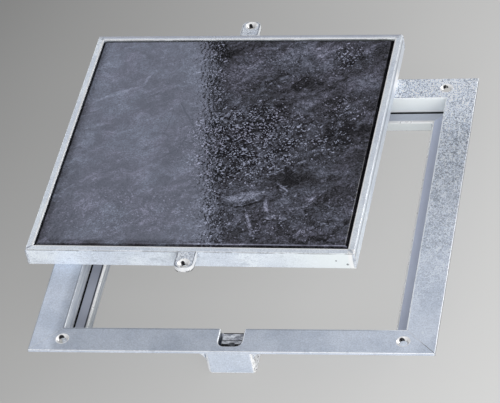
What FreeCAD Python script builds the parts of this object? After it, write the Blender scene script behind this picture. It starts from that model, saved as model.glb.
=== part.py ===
import FreeCAD, Part
import math
import os

import Sketcher

# Recessed paving cover: a square galvanised frame whose flange lies flush with the paving, and a tray
# lid that carries a polished stone slab. The lid has been lifted out of its recess and laid on the
# flange, pushed towards the left and the back, as it is left while somebody works below it.
#
# Frame of reference, in millimetres: the origin is the centre of the frame in the plane of the flange's
# underside, which is screwed down on the ground, +X to the right, +Y to the back, +Z up. The front,
# right, back and left pieces of a ring are one piece turned by quarter turns about the ring's centre, so
# each is drawn as the front one. Heights in a drawing of the frame count from the flange's top face, and
# in a drawing of the lid from its underside, which lies on that face: a placement lifts them all.

SIZES = {
    "frame_size": (400.0, "outer side of the square frame, over the flange"),
    "flange_width": (31.0, "flange, from its outer edge to the wall of the recess"),
    "flange_thickness": (3.0, "plate thickness of the flange"),
    "wall_thickness": (3.0, "plate thickness of the recess wall"),
    "recess_depth": (20.0, "from the flange's top face down to the seat of the lid"),
    "toe_width": (8.0, "toe that the wall turns inwards, under the seat angle"),
    "toe_thickness": (3.0, "plate thickness of the toe"),
    "seal_width": (2.0, "groove between the wall and the seat angle, filled by the seal"),
    "seat_width": (13.0, "horizontal leg of the seat angle, that the lid stands on"),
    "seat_thickness": (3.0, "plate thickness of the seat angle"),
    "seat_drop": (12.0, "vertical leg of the seat angle, over all"),
    "seat_nose_radius": (2.6, "outer bend of the seat angle"),
    "flange_edge_radius": (0.7, "dressed top edges of the flange"),
    "fixing_inset_side": (32.0, "fixing hole, from the side edge of the frame"),
    "fixing_inset_front": (15.5, "fixing hole and lock screw, from the frame's front or back edge"),
    "fixing_hole_diameter": (7.6, "through hole for a fixing screw"),
    "fixing_sink_diameter": (12.8, "countersink of a fixing hole, at the top face"),
    "lug_width": (20.0, "width of a lock lug"),
    "lug_length": (23.0, "lock lug, from the lid's rim to its tip"),
    "lug_thickness": (6.0, "plate thickness of a lock lug"),
    "lug_corner_radius": (7.0, "rounded corners at the tip of a lock lug"),
    "lug_side_play": (1.75, "gap between a lug and its notch, each side"),
    "lug_end_play": (1.3, "gap between the tip of a lug and its notch"),
    "lug_drop_play": (0.5, "gap under a lug when the lid is in its recess"),
    "lock_hole_diameter": (6.6, "through hole for the lock screw in a lug"),
    "lock_sink_diameter": (12.4, "countersink for the lock screw in a lug"),
    "notch_corner_radius": (6.5, "closed corners of the notch in the flange"),
    "notch_mouth_radius": (1.6, "open corners of the notch in the flange"),
    "pocket_width": (48.0, "lock pocket under the flange, over all"),
    "pocket_wall": (3.0, "plate thickness of the lock pocket"),
    "pocket_bend_radius": (4.5, "outer bends of the lock pocket"),
    "bridge_width": (20.0, "bridge that a lug comes down on"),
    "bridge_thickness": (5.0, "plate thickness of the bridge"),
    "bridge_hole_diameter": (7.0, "clearance hole for the lock screw in the bridge"),
    "nut_across_flats": (10.0, "hexagonal weld nut under the bridge"),
    "nut_height": (5.0, "height of the weld nut"),
    "nut_bore_diameter": (5.0, "core hole of the nut's M6 thread"),
    "lid_clearance": (1.0, "gap between the lid and the recess wall, each side"),
    "rim_width": (7.0, "width of the lid's rim bars, seen from above"),
    "rim_edge_radius": (0.8, "dressed top edges of the rim bars"),
    "tray_thickness": (3.0, "bottom plate of the lid's tray"),
    "mortar_thickness": (5.0, "bed of mortar under the slab"),
    "slab_joint": (1.6, "joint between the slab and the rim"),
    "slab_bevel": (2.2, "bevelled top edge of the slab"),
    "joint_recess": (2.4, "sealant in the joint, below the top of the rim"),
    "lid_shift_left": (55.5, "lid as laid down, from the middle of the frame to the left"),
    "lid_shift_back": (85.0, "lid as laid down, from the middle of the frame to the back"),
    "lid_turn": (1.0, "lid as laid down, turned clockwise seen from above, in degrees"),
}

SIDES = ("front", "right", "back", "left")

# Lengths worked out from the sheet, as formulas that the features are bound to.
FRAME_HALF = "(sizes.frame_size / 2)"
RECESS_HALF = f"({FRAME_HALF} - sizes.flange_width)"
WALL_OUTSIDE = f"({RECESS_HALF} + sizes.wall_thickness)"
TOE_END = f"({RECESS_HALF} - sizes.toe_width)"
TOE_TOP = "(sizes.recess_depth + sizes.seat_thickness)"
TOE_BOTTOM = f"({TOE_TOP} + sizes.toe_thickness)"
SEAT_OUTSIDE = f"({RECESS_HALF} - sizes.seal_width)"
SEAT_INSIDE = f"({SEAT_OUTSIDE} - sizes.seat_width)"
FRAME_DEPTH = "(sizes.recess_depth + sizes.seat_drop)"
FIXING_X = f"({FRAME_HALF} - sizes.fixing_inset_side)"
FIXING_Y = f"({FRAME_HALF} - sizes.fixing_inset_front)"

LID_HALF = f"({RECESS_HALF} - sizes.lid_clearance)"
TRAY_HALF = f"({LID_HALF} - sizes.rim_width)"
SLAB_HALF = f"({TRAY_HALF} - sizes.slab_joint)"
LID_HEIGHT = "sizes.recess_depth"
SLAB_BOTTOM = "(sizes.tray_thickness + sizes.mortar_thickness)"
LUG_TIP = f"({LID_HALF} + sizes.lug_length)"

NOTCH_HALF_WIDTH = "(sizes.lug_width / 2 + sizes.lug_side_play)"
NOTCH_END = f"({LUG_TIP} + sizes.lug_end_play)"
BRIDGE_TOP = "(sizes.lug_thickness + sizes.lug_drop_play)"
BRIDGE_BOTTOM = f"({BRIDGE_TOP} + sizes.bridge_thickness)"

TINY = 1e-4

doc = FreeCAD.newDocument("paving_cover")
sheet = doc.addObject("Spreadsheet::Sheet", "sizes")
nodes = []


def fill_sheet():
    """One row for each driving size: its alias, its value and what it is."""
    for row, (alias, (size, meaning)) in enumerate(SIZES.items(), start=1):
        sheet.set(f"A{row}", alias)
        sheet.set(f"B{row}", str(size))
        sheet.setAlias(f"B{row}", alias)
        sheet.set(f"C{row}", meaning)
    doc.recompute()


def size(formula):
    """The present value of a formula, in millimetres or degrees."""
    return float(sheet.evalExpression(formula))


def new_body(label):
    body = doc.addObject("PartDesign::Body", label)
    body.Label = label
    nodes.append(body)
    return body


def new_sketch(body, name, plane, height="0"):
    """A sketch on one of the body's origin planes, raised along that plane's normal."""
    sketch = body.newObject("Sketcher::SketchObject", name)
    planes = [feature for feature in body.Origin.OriginFeatures if feature.Role == plane]
    sketch.AttachmentSupport = [(planes[0], "")]
    sketch.MapMode = "FlatFace"
    sketch.setExpression(".AttachmentOffset.Base.z", height)
    return sketch


def pin_point(sketch, geometry, point, x, y):
    """Ties a point of the sketch to the place that two formulas give."""
    for kind, formula in (("DistanceX", x), ("DistanceY", y)):
        tie = sketch.addConstraint(Sketcher.Constraint(kind, -1, 1, geometry, point, size(formula)))
        sketch.setExpression(f"Constraints[{tie}]", formula)


def draw_outline(sketch, corners):
    """A closed outline of straight lines through corners, each a pair of formulas."""
    points = [FreeCAD.Vector(size(x), size(y), 0) for x, y in corners]
    first = sketch.GeometryCount
    count = len(points)
    for index, start in enumerate(points):
        sketch.addGeometry(Part.LineSegment(start, points[(index + 1) % count]), False)
    for index, (x, y) in enumerate(corners):
        following = first + (index + 1) % count
        sketch.addConstraint(Sketcher.Constraint("Coincident", first + index, 2, following, 1))
        pin_point(sketch, first + index, 1, x, y)


def draw_circle(sketch, x, y, diameter):
    circle = Part.Circle(FreeCAD.Vector(size(x), size(y), 0), FreeCAD.Vector(0, 0, 1), size(diameter) / 2)
    index = sketch.addGeometry(circle, False)
    pin_point(sketch, index, 3, x, y)
    tie = sketch.addConstraint(Sketcher.Constraint("Diameter", index, size(diameter)))
    sketch.setExpression(f"Constraints[{tie}]", diameter)


def rectangle(left, right, front, back):
    return [(left, front), (right, front), (right, back), (left, back)]


def square(half):
    return rectangle(f"-{half}", half, f"-{half}", half)


def pad(body, sketch, length, side="One side", downwards=False):
    feature = body.newObject("PartDesign::Pad", f"{sketch.Name}_pad")
    feature.Profile = sketch
    feature.SideType = side
    feature.Reversed = downwards
    feature.setExpression("Length", length)
    doc.recompute()
    return feature


def cut(body, sketch, depth=None):
    """Pockets a sketch down to a depth below its plane, or right through both ways without one."""
    before = body.Shape.Volume
    feature = body.newObject("PartDesign::Pocket", f"{sketch.Name}_cut")
    feature.Profile = sketch
    if depth is None:
        feature.Type = "ThroughAll"
        feature.SideType = "Symmetric"
    else:
        feature.setExpression("Length", depth)
    doc.recompute()
    if not body.Shape.Volume < before:
        raise RuntimeError(f"{feature.Name} removes nothing from {body.Label}")
    return feature


def countersunk_holes(body, name, height, places, diameter, sink_diameter):
    """Countersunk through holes, sunk from a plane at the given height."""
    sketch = new_sketch(body, name, "XY_Plane", height)
    for x, y in places:
        draw_circle(sketch, x, y, diameter)
    doc.recompute()
    before = body.Shape.Volume
    hole = body.newObject("PartDesign::Hole", f"{name}_drill")
    hole.Profile = sketch
    doc.recompute()
    hole.DepthType = "ThroughAll"
    hole.HoleCutType = "Countersink"
    hole.HoleCutCustomValues = True
    hole.HoleCutCountersinkAngle = 90
    hole.setExpression("Diameter", diameter)
    hole.setExpression("HoleCutDiameter", sink_diameter)
    doc.recompute()
    if not body.Shape.Volume < before:
        raise RuntimeError(f"{name} removes nothing from {body.Label}")


def plain_hole(body, name, height, x, y, diameter):
    sketch = new_sketch(body, name, "XY_Plane", height)
    draw_circle(sketch, x, y, diameter)
    cut(body, sketch)


def edges_where(body, wanted):
    """Names of the body's edges for which wanted(edge) holds."""
    edges = body.Tip.Shape.Edges
    return [f"Edge{number}" for number, edge in enumerate(edges, start=1) if wanted(edge)]


def dress(body, kind, amount, wanted):
    """A fillet or chamfer of one size on the edges that wanted picks."""
    names = edges_where(body, wanted)
    if not names:
        raise RuntimeError(f"no edge of {body.Label} is there to be dressed by {amount}")
    base = body.Tip
    feature = body.newObject(f"PartDesign::{kind}", f"{body.Name}_{kind}")
    feature.Base = (base, names)
    feature.setExpression("Radius" if kind == "Fillet" else "Size", amount)
    doc.recompute()


def near(value, target):
    return abs(value - target) < TINY


def runs_along(edge, axis):
    """Whether a straight edge runs along x, y or z."""
    ends = [vertex.Point for vertex in edge.Vertexes]
    if len(ends) != 2:
        return False
    reach = [abs(getattr(ends[1], name) - getattr(ends[0], name)) for name in "xyz"]
    length = reach["xyz".index(axis)]
    return length > TINY and near(sum(reach), length)


def lies_at(edge, **places):
    """Whether all ends of an edge have the named coordinates."""
    return all(near(getattr(vertex.Point, name), at) for vertex in edge.Vertexes for name, at in places.items())


def mitre(body, half, inside):
    """Cuts the two ends of a front bar at 45 degrees, from its outer corner to well inside the ring."""
    core = f"({inside} / 2)"
    sketch = new_sketch(body, f"{body.Name}_mitre", "XY_Plane")
    for sign in ("", "-"):
        draw_outline(sketch, [(sign + half, f"-{half}"), (sign + half, f"-{core}"), (sign + core, f"-{core}")])
    cut(body, sketch)


def bar(label, profile, half, inside):
    """A mitred front bar of a ring: its profile, drawn from the side, over the full length."""
    body = new_body(label)
    sketch = new_sketch(body, f"{label}_profile", "YZ_Plane")
    draw_outline(sketch, profile)
    pad(body, sketch, f"2 * {half}", side="Symmetric")
    mitre(body, half, inside)
    return body


def turn_in_frame(node, side="front"):
    """Puts a piece that is drawn at the front of the frame on another side of it."""
    node.Placement = FreeCAD.Placement(
        FreeCAD.Vector(0, 0, 0), FreeCAD.Rotation(FreeCAD.Vector(0, 0, 1), 90 * SIDES.index(side)))
    node.setExpression(".Placement.Base.z", "sizes.flange_thickness")


def turn_in_lid(node, side="front"):
    """Puts a piece that is drawn at the front of the lid on another side of it, where the lid lies."""
    turn_in_frame(node, side)
    node.setExpression(".Placement.Base.x", "-sizes.lid_shift_left")
    node.setExpression(".Placement.Base.y", "sizes.lid_shift_back")
    node.setExpression(".Placement.Rotation.Angle", f"{90 * SIDES.index(side)} - sizes.lid_turn")


def frame_bar(side):
    """Rolled section of the frame: flange, recess wall and the toe that carries the seat angle."""
    profile = [
        (f"-{FRAME_HALF}", "0"),
        (f"-{FRAME_HALF}", "-sizes.flange_thickness"),
        (f"-{WALL_OUTSIDE}", "-sizes.flange_thickness"),
        (f"-{WALL_OUTSIDE}", f"-{TOE_BOTTOM}"),
        (f"-{TOE_END}", f"-{TOE_BOTTOM}"),
        (f"-{TOE_END}", f"-{TOE_TOP}"),
        (f"-{RECESS_HALF}", f"-{TOE_TOP}"),
        (f"-{RECESS_HALF}", "0"),
    ]
    body = bar(f"frame_bar_{side}", profile, FRAME_HALF, TOE_END)
    flange_edges = (-size(FRAME_HALF), -size(RECESS_HALF))
    dress(body, "Fillet", "sizes.flange_edge_radius",
          lambda edge: runs_along(edge, "x") and any(lies_at(edge, y=at, z=0) for at in flange_edges))
    if side in ("front", "back"):
        cut_notch(body)
        places = [(f"-{FIXING_X}", f"-{FIXING_Y}"), (FIXING_X, f"-{FIXING_Y}")]
        countersunk_holes(body, f"{body.Name}_fixing", "0", places,
                          "sizes.fixing_hole_diameter", "sizes.fixing_sink_diameter")
    turn_in_frame(body, side)


def cut_notch(body):
    """The notch that a lock lug comes down in, through the flange and the top of the wall."""
    sketch = new_sketch(body, f"{body.Name}_notch", "XY_Plane")
    left = f"-{NOTCH_HALF_WIDTH}"
    draw_outline(sketch, rectangle(left, NOTCH_HALF_WIDTH, f"-{NOTCH_END}", f"-{TOE_END}"))
    cut(body, sketch, BRIDGE_BOTTOM)
    sides = (size(left), size(NOTCH_HALF_WIDTH))

    def corner_at(y):
        return lambda edge: runs_along(edge, "z") and any(lies_at(edge, x=at, y=y) for at in sides)

    dress(body, "Fillet", "sizes.notch_corner_radius", corner_at(-size(NOTCH_END)))
    dress(body, "Fillet", "sizes.notch_mouth_radius", corner_at(-size(RECESS_HALF)))


def seat_bar(side):
    """Angle that the lid stands on, welded on the toe: a flat leg and a leg down its inner side."""
    inner_face = f"({SEAT_INSIDE} + sizes.seat_thickness)"
    profile = [
        (f"-{SEAT_OUTSIDE}", "-sizes.recess_depth"),
        (f"-{SEAT_OUTSIDE}", f"-{TOE_TOP}"),
        (f"-{inner_face}", f"-{TOE_TOP}"),
        (f"-{inner_face}", f"-{FRAME_DEPTH}"),
        (f"-{SEAT_INSIDE}", f"-{FRAME_DEPTH}"),
        (f"-{SEAT_INSIDE}", "-sizes.recess_depth"),
    ]
    body = bar(f"seat_bar_{side}", profile, SEAT_OUTSIDE, SEAT_INSIDE)
    nose_y = -size(SEAT_INSIDE)
    nose_z = -size("sizes.recess_depth")
    dress(body, "Fillet", "sizes.seat_nose_radius",
          lambda edge: runs_along(edge, "x") and lies_at(edge, y=nose_y, z=nose_z))
    turn_in_frame(body, side)


def recess_seal():
    """Rubber ring in the groove between the wall and the seat angle, pressed by the edge of the lid."""
    body = new_body("recess_seal")
    ring = new_sketch(body, "seal_ring", "XY_Plane", "-sizes.recess_depth")
    draw_outline(ring, square(RECESS_HALF))
    draw_outline(ring, square(SEAT_OUTSIDE))
    pad(body, ring, "sizes.seat_thickness", downwards=True)
    turn_in_frame(body)


def lock_pocket(side):
    """Pressed box under a notch, open to the top and to the wall that it is welded to."""
    body = new_body(f"lock_pocket_{side}")
    left = "(-sizes.pocket_width / 2)"
    right = "(sizes.pocket_width / 2)"
    height = f"({FRAME_DEPTH} - sizes.flange_thickness)"
    block = new_sketch(body, f"{body.Name}_block", "XY_Plane", "-sizes.flange_thickness")
    draw_outline(block, rectangle(left, right, f"-{FRAME_HALF}", f"-{WALL_OUTSIDE}"))
    pad(body, block, height, downwards=True)
    front = -size(FRAME_HALF)
    bottom = -size(FRAME_DEPTH)
    sides = (size(left), size(right))

    def outer_bend(edge):
        upright = runs_along(edge, "z") and lies_at(edge, y=front)
        front_foot = runs_along(edge, "x") and lies_at(edge, y=front, z=bottom)
        side_foot = runs_along(edge, "y") and any(lies_at(edge, x=at, z=bottom) for at in sides)
        return upright or front_foot or side_foot

    dress(body, "Fillet", "sizes.pocket_bend_radius", outer_bend)
    hollow = new_sketch(body, f"{body.Name}_hollow", "XY_Plane", "-sizes.flange_thickness")
    draw_outline(hollow, rectangle(f"({left} + sizes.pocket_wall)", f"({right} - sizes.pocket_wall)",
                                   f"-({FRAME_HALF} - sizes.pocket_wall)", f"-{RECESS_HALF}"))
    cut(body, hollow, f"({height} - sizes.pocket_wall)")
    turn_in_frame(body, side)


def lock_bridge(side):
    """Flat bar from the pocket's front to the notch in the wall, that a lug is screwed down on."""
    body = new_body(f"lock_bridge_{side}")
    plan = new_sketch(body, f"{body.Name}_plan", "XY_Plane", f"-{BRIDGE_TOP}")
    draw_outline(plan, rectangle("-sizes.bridge_width / 2", "sizes.bridge_width / 2",
                                 f"-({FRAME_HALF} - sizes.pocket_wall)", f"-{RECESS_HALF}"))
    pad(body, plan, "sizes.bridge_thickness", downwards=True)
    plain_hole(body, f"{body.Name}_hole", f"-{BRIDGE_TOP}", "0", f"-{FIXING_Y}", "sizes.bridge_hole_diameter")
    turn_in_frame(body, side)


def lock_nut(side):
    """Hexagonal weld nut under the bridge, for the lock screw."""
    label = f"lock_nut_{side}"
    hexagon = doc.addObject("Part::Prism", f"{label}_hexagon")
    hexagon.Polygon = 6
    hexagon.setExpression("Circumradius", f"sizes.nut_across_flats / {2 * math.cos(math.pi / 6)}")
    hexagon.setExpression("Height", "sizes.nut_height")
    bore = doc.addObject("Part::Cylinder", f"{label}_bore")
    bore.setExpression("Radius", "sizes.nut_bore_diameter / 2")
    bore.setExpression("Height", "sizes.nut_height")
    for piece in (hexagon, bore):
        piece.setExpression(".Placement.Base.y", f"-{FIXING_Y}")
        piece.setExpression(".Placement.Base.z", f"-{BRIDGE_BOTTOM} - sizes.nut_height")
    nut = doc.addObject("Part::Cut", label)
    nut.Label = label
    nut.Base = hexagon
    nut.Tool = bore
    doc.recompute()
    nodes.append(nut)
    turn_in_frame(nut, side)


def lid_bar(side):
    """Flat bar on edge, one side of the lid's rim."""
    profile = [
        (f"-{LID_HALF}", "0"),
        (f"-{TRAY_HALF}", "0"),
        (f"-{TRAY_HALF}", LID_HEIGHT),
        (f"-{LID_HALF}", LID_HEIGHT),
    ]
    body = bar(f"lid_bar_{side}", profile, LID_HALF, TRAY_HALF)
    top = size(LID_HEIGHT)
    dress(body, "Fillet", "sizes.rim_edge_radius",
          lambda edge: runs_along(edge, "x") and lies_at(edge, z=top))
    turn_in_lid(body, side)


def lid_layer(label, half, bottom, thickness):
    """A square layer inside the rim, between two heights above the lid's underside."""
    body = new_body(label)
    plan = new_sketch(body, f"{label}_plan", "XY_Plane", bottom)
    draw_outline(plan, square(half))
    pad(body, plan, thickness)
    turn_in_lid(body)
    return body


def stone_slab():
    """Polished slab on its bed, with a bevel all round its top face."""
    body = lid_layer("stone_slab", SLAB_HALF, SLAB_BOTTOM, f"{LID_HEIGHT} - {SLAB_BOTTOM}")
    top = size(LID_HEIGHT)
    dress(body, "Chamfer", "sizes.slab_bevel", lambda edge: lies_at(edge, z=top))


def slab_sealant():
    """Sealant ring in the joint between the slab and the rim, a little below the top."""
    body = new_body("slab_sealant")
    ring = new_sketch(body, "sealant_ring", "XY_Plane", SLAB_BOTTOM)
    draw_outline(ring, square(TRAY_HALF))
    draw_outline(ring, square(SLAB_HALF))
    pad(body, ring, f"{LID_HEIGHT} - {SLAB_BOTTOM} - sizes.joint_recess")
    turn_in_lid(body)


def lid_lug(side):
    """Lug that stands out from the rim, flush with its top, with a countersunk hole for the lock screw."""
    body = new_body(f"lid_lug_{side}")
    plan = new_sketch(body, f"{body.Name}_plan", "XY_Plane", LID_HEIGHT)
    draw_outline(plan, rectangle("-sizes.lug_width / 2", "sizes.lug_width / 2", f"-{LUG_TIP}", f"-{LID_HALF}"))
    pad(body, plan, "sizes.lug_thickness", downwards=True)
    tip = -size(LUG_TIP)
    dress(body, "Fillet", "sizes.lug_corner_radius",
          lambda edge: runs_along(edge, "z") and lies_at(edge, y=tip))
    countersunk_holes(body, f"{body.Name}_lock", LID_HEIGHT, [("0", f"-{FIXING_Y}")],
                      "sizes.lock_hole_diameter", "sizes.lock_sink_diameter")
    turn_in_lid(body, side)


def check(items):
    """Stops if anything in the document failed, or if a node isn't one valid solid."""
    for item in doc.Objects:
        if "Invalid" in item.State or "Error" in item.State:
            raise RuntimeError(f"{item.Label} failed: {item.State}")
    for node in items:
        if node.Shape.isNull() or not node.Shape.isValid() or len(node.Shape.Solids) != 1:
            raise RuntimeError(f"{node.Label} isn't one valid solid")


def export(items):
    os.makedirs("parts", exist_ok=True)
    for node in items:
        node.Shape.exportStep(f"parts/{node.Label}.step")
        box = node.Shape.BoundBox
        print(f"{node.Label:20s} {node.Shape.Volume:12.1f} mm3  x {box.XMin:7.1f} {box.XMax:7.1f}"
              f"  y {box.YMin:7.1f} {box.YMax:7.1f}  z {box.ZMin:6.1f} {box.ZMax:6.1f}")


def main():
    fill_sheet()
    for side in SIDES:
        frame_bar(side)
    for side in SIDES:
        seat_bar(side)
    recess_seal()
    for side in ("front", "back"):
        lock_pocket(side)
        lock_bridge(side)
        lock_nut(side)
    for side in SIDES:
        lid_bar(side)
    lid_layer("lid_tray", TRAY_HALF, "0", "sizes.tray_thickness")
    lid_layer("mortar_bed", TRAY_HALF, "sizes.tray_thickness", "sizes.mortar_thickness")
    stone_slab()
    slab_sealant()
    for side in ("front", "back"):
        lid_lug(side)
    doc.recompute()
    check(nodes)
    export(nodes)


main()
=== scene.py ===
import math
import random

import bmesh
import bpy
from mathutils import Matrix, Vector, noise


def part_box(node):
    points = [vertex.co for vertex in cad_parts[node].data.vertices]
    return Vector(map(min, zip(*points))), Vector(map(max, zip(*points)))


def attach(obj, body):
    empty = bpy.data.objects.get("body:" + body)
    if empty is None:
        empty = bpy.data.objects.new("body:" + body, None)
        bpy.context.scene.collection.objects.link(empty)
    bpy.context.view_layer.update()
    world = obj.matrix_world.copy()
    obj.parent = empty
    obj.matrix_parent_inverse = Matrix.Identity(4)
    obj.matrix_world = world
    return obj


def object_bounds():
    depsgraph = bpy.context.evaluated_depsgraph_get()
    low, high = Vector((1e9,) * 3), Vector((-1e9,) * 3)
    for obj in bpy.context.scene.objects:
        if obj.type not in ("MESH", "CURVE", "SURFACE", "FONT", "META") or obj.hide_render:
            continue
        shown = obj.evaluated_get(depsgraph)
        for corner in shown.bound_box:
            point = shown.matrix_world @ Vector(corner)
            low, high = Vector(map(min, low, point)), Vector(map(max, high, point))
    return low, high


# Looks of a galvanised paving cover whose lid, filled with a polished stone slab, lies on its frame.
# Places are in metres in the part's own frame; sizes written in millimetres are multiplied by MM.
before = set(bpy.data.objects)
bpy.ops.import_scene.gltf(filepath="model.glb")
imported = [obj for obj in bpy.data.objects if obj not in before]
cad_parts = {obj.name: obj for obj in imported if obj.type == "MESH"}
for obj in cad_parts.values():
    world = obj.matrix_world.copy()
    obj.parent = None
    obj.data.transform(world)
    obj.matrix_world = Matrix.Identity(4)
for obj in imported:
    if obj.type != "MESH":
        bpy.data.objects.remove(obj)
cad_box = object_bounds()

MM = 0.001
SIDES = ("front", "right", "back", "left")
CORNERS = ("front_right", "back_right", "back_left", "front_left")
UP = Vector((0, 0, 1))
DOWN = -UP
LEFT = Vector((-1, 0, 0))
RIGHT = Vector((1, 0, 0))
FRONT = Vector((0, -1, 0))
# Out of the front right corner.
OUTWARDS = (RIGHT + FRONT).normalized()

# What the finish is fitted to, read from the frame.
FLOOR_Z = cad_box[0].z
FRAME_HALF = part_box("frame_bar_front")[1].x
FLANGE_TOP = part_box("frame_bar_front")[1].z
SEAL_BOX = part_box("recess_seal")
RECESS_HALF = SEAL_BOX[1].x
SEAT_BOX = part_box("seat_bar_right")
SEAT_INNER = SEAT_BOX[0].x
POCKET_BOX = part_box("lock_pocket_front")
SLAB_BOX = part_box("stone_slab")
TRAY_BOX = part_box("lid_tray")

# Frame sizes that a box can't give.
FLANGE = 3 * MM
WALL = 3 * MM
NOTCH_HALF = 11.75 * MM
LEDGE_Z = -14.4 * MM
FIXING_HOLE = Vector((168 * MM, 184.5 * MM, 0))
FIXING_SINK = 6.4 * MM
LOCK_HOLE = Vector((0, 184.5 * MM, 0))
LOCK_SINK = 6.2 * MM

# The lid's own drawing: its angle in degrees, its measures, and where it lies in the part's frame.
LID_ANGLE = -1
LID_HALF = 168 * MM
RIM = 7 * MM
SLAB_HALF = 159.4 * MM
SLAB_BEVEL = 2.2 * MM
LUG_HALF_WIDTH = 10 * MM
LUG_THICKNESS = 6 * MM
LUG_TIP = 191 * MM
LUG_CORNER = 7 * MM
LID_MIDDLE = (SLAB_BOX[0] + SLAB_BOX[1]) / 2
LID_PLACE = (Matrix.Translation(Vector((LID_MIDDLE.x, LID_MIDDLE.y, TRAY_BOX[0].z)))
             @ Matrix.Rotation(math.radians(LID_ANGLE), 4, "Z"))
LID_HEIGHT = SLAB_BOX[1].z - TRAY_BOX[0].z
LUG_UNDER = LID_HEIGHT - LUG_THICKNESS

# The camera that the photograph was taken with, solved from the corners of frame and lid. Its angles
# are in degrees, its lens in millimetres.
CAMERA_PLACE = Vector((596.7, -1910.5, 1776.6)) * MM
CAMERA_YAW, CAMERA_PITCH, CAMERA_ROLL = 17.618, -41.338, 12.051
CAMERA_LENS = 191.02

# Colours that several finishes share.
WHITE = (1.0, 1.0, 1.0)
NEAR_BLACK = (0.012, 0.012, 0.015)
LINE_DARK = (0.05, 0.055, 0.07)
# The colour of painted glints, and of the painted highlight along edges and bends.
PAINTED_GLINT_ZINC = (0.97, 0.99, 1.0)
EDGE_HIGHLIGHT_ZINC = (0.93, 0.96, 1.0)


class Graph:
    """A node tree, with short names for the kinds of node that the finishes are made of."""

    def __init__(self, tree):
        self.tree = tree
        tree.nodes.clear()

    def add(self, kind, inputs=None, **settings):
        node = self.tree.nodes.new(kind)
        for name, value in settings.items():
            setattr(node, name, value)
        for name, value in (inputs or {}).items():
            self.put(node.inputs[name], value)
        return node

    def put(self, socket, value):
        if isinstance(value, bpy.types.NodeSocket):
            self.tree.links.new(value, socket)
        else:
            socket.default_value = value

    def place(self):
        return self.add("ShaderNodeTexCoord").outputs["Object"]

    def math(self, operation, *values):
        node = self.add("ShaderNodeMath", operation=operation)
        for socket, value in zip(node.inputs, values):
            self.put(socket, value)
        return node.outputs["Value"]

    def plus(self, first, second):
        return self.math("ADD", first, second)

    def minus(self, first, second):
        return self.math("SUBTRACT", first, second)

    def times(self, first, *others):
        for other in others:
            first = self.math("MULTIPLY", first, other)
        return first

    def most(self, first, *others):
        for other in others:
            first = self.math("MAXIMUM", first, other)
        return first

    def vector(self, operation, *values):
        node = self.add("ShaderNodeVectorMath", operation=operation)
        for socket, value in zip(node.inputs, values):
            self.put(socket, value)
        measured = operation in ("LENGTH", "DISTANCE", "DOT_PRODUCT")
        return node.outputs["Value" if measured else "Vector"]

    def stretched(self, place, factors):
        return self.vector("MULTIPLY", place, factors)

    def parts(self, vector):
        return self.add("ShaderNodeSeparateXYZ", {"Vector": vector}).outputs

    def even(self, value):
        """A vector whose three parts are one value."""
        inputs = {"X": value, "Y": value, "Z": value}
        return self.add("ShaderNodeCombineXYZ", inputs).outputs["Vector"]

    def inside(self, place, middle=(0.0, 0.0, 0.0), angle=0.0, size=(1.0, 1.0, 1.0)):
        """Places as seen from a middle, turned by an angle in degrees, with size as the unit of each part."""
        inputs = {"Vector": place, "Location": middle, "Rotation": (0.0, 0.0, math.radians(angle)),
                  "Scale": size}
        return self.add("ShaderNodeMapping", inputs, vector_type="TEXTURE").outputs["Vector"]

    def noise(self, place, size, detail=2.0, roughness=0.5, distortion=0.0):
        inputs = {"Vector": place, "Scale": 1 / size, "Detail": detail, "Roughness": roughness,
                  "Distortion": distortion}
        return self.add("ShaderNodeTexNoise", inputs).outputs["Fac"]

    def cells(self, place, size, feature="F1"):
        return self.add("ShaderNodeTexVoronoi", {"Vector": place, "Scale": 1 / size}, feature=feature).outputs

    def step(self, value, low, high, to_low=0.0, to_high=1.0):
        """A smooth rise of value between two levels; high may be under low, for a fall."""
        inputs = {"Value": value, "From Min": low, "From Max": high, "To Min": to_low, "To Max": to_high}
        return self.add("ShaderNodeMapRange", inputs, interpolation_type="SMOOTHSTEP").outputs["Result"]

    def near(self, value, middle, outer, inner):
        """1 where value is within inner of middle, falling to 0 at outer from it."""
        return self.step(self.math("ABSOLUTE", self.minus(value, middle)), outer, inner)

    def mix(self, factor, first, second):
        node = self.add("ShaderNodeMix", data_type="RGBA", blend_type="MIX")
        for name, value in (("Factor_Float", factor), ("A_Color", first), ("B_Color", second)):
            socket = next(s for s in node.inputs if s.identifier == name)
            self.put(socket, value if not isinstance(value, tuple) else (*value, 1.0))
        return next(s for s in node.outputs if s.identifier == "Result_Color")

    def scaled(self, colour, factor):
        """A colour made darker or lighter by a factor that varies over the surface."""
        return self.vector("MULTIPLY", colour, self.even(factor))

    def bump(self, height, distance, normal=None):
        inputs = {"Height": height, "Distance": distance}
        if normal is not None:
            inputs["Normal"] = normal
        return self.add("ShaderNodeBump", inputs).outputs["Normal"]

    def rounded(self, radius):
        """The normal of the edges if they were rounded, and 1 on edges and bends, 0 on flat faces."""
        soft = self.add("ShaderNodeBevel", {"Radius": radius}, samples=4).outputs["Normal"]
        flat = self.add("ShaderNodeNewGeometry").outputs["Normal"]
        beside = self.step(self.vector("DOT_PRODUCT", soft, flat), 0.995, 0.90)
        parts = self.parts(self.vector("ABSOLUTE", flat))
        squarest = self.most(parts["X"], parts["Y"], parts["Z"])
        return soft, self.most(beside, self.step(squarest, 0.985, 0.93))

    def sink(self, place, hole, radius, blot):
        """1 in countersinks that lie alike in all quarters, and 1 in the painted shadow at each one's far
        left.

        The last argument is the painted shadow's radius, as a share of the countersink's.
        """
        middle = self.vector("MULTIPLY", self.vector("SIGN", place), hole)
        off = self.stretched(self.vector("SUBTRACT", place, middle), (1.0, 1.0, 0.0))
        away = self.vector("LENGTH", off)
        inside = self.step(away, radius + 0.8 * MM, radius + 0.2 * MM)
        # The painted shadow: a black patch where the countersink's far wall lies in shade.
        blotch = self.vector("DISTANCE", off, (-0.25 * radius, 0.45 * radius, 0.0))
        return inside, self.step(blotch, blot * radius, 0.72 * blot * radius)

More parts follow.
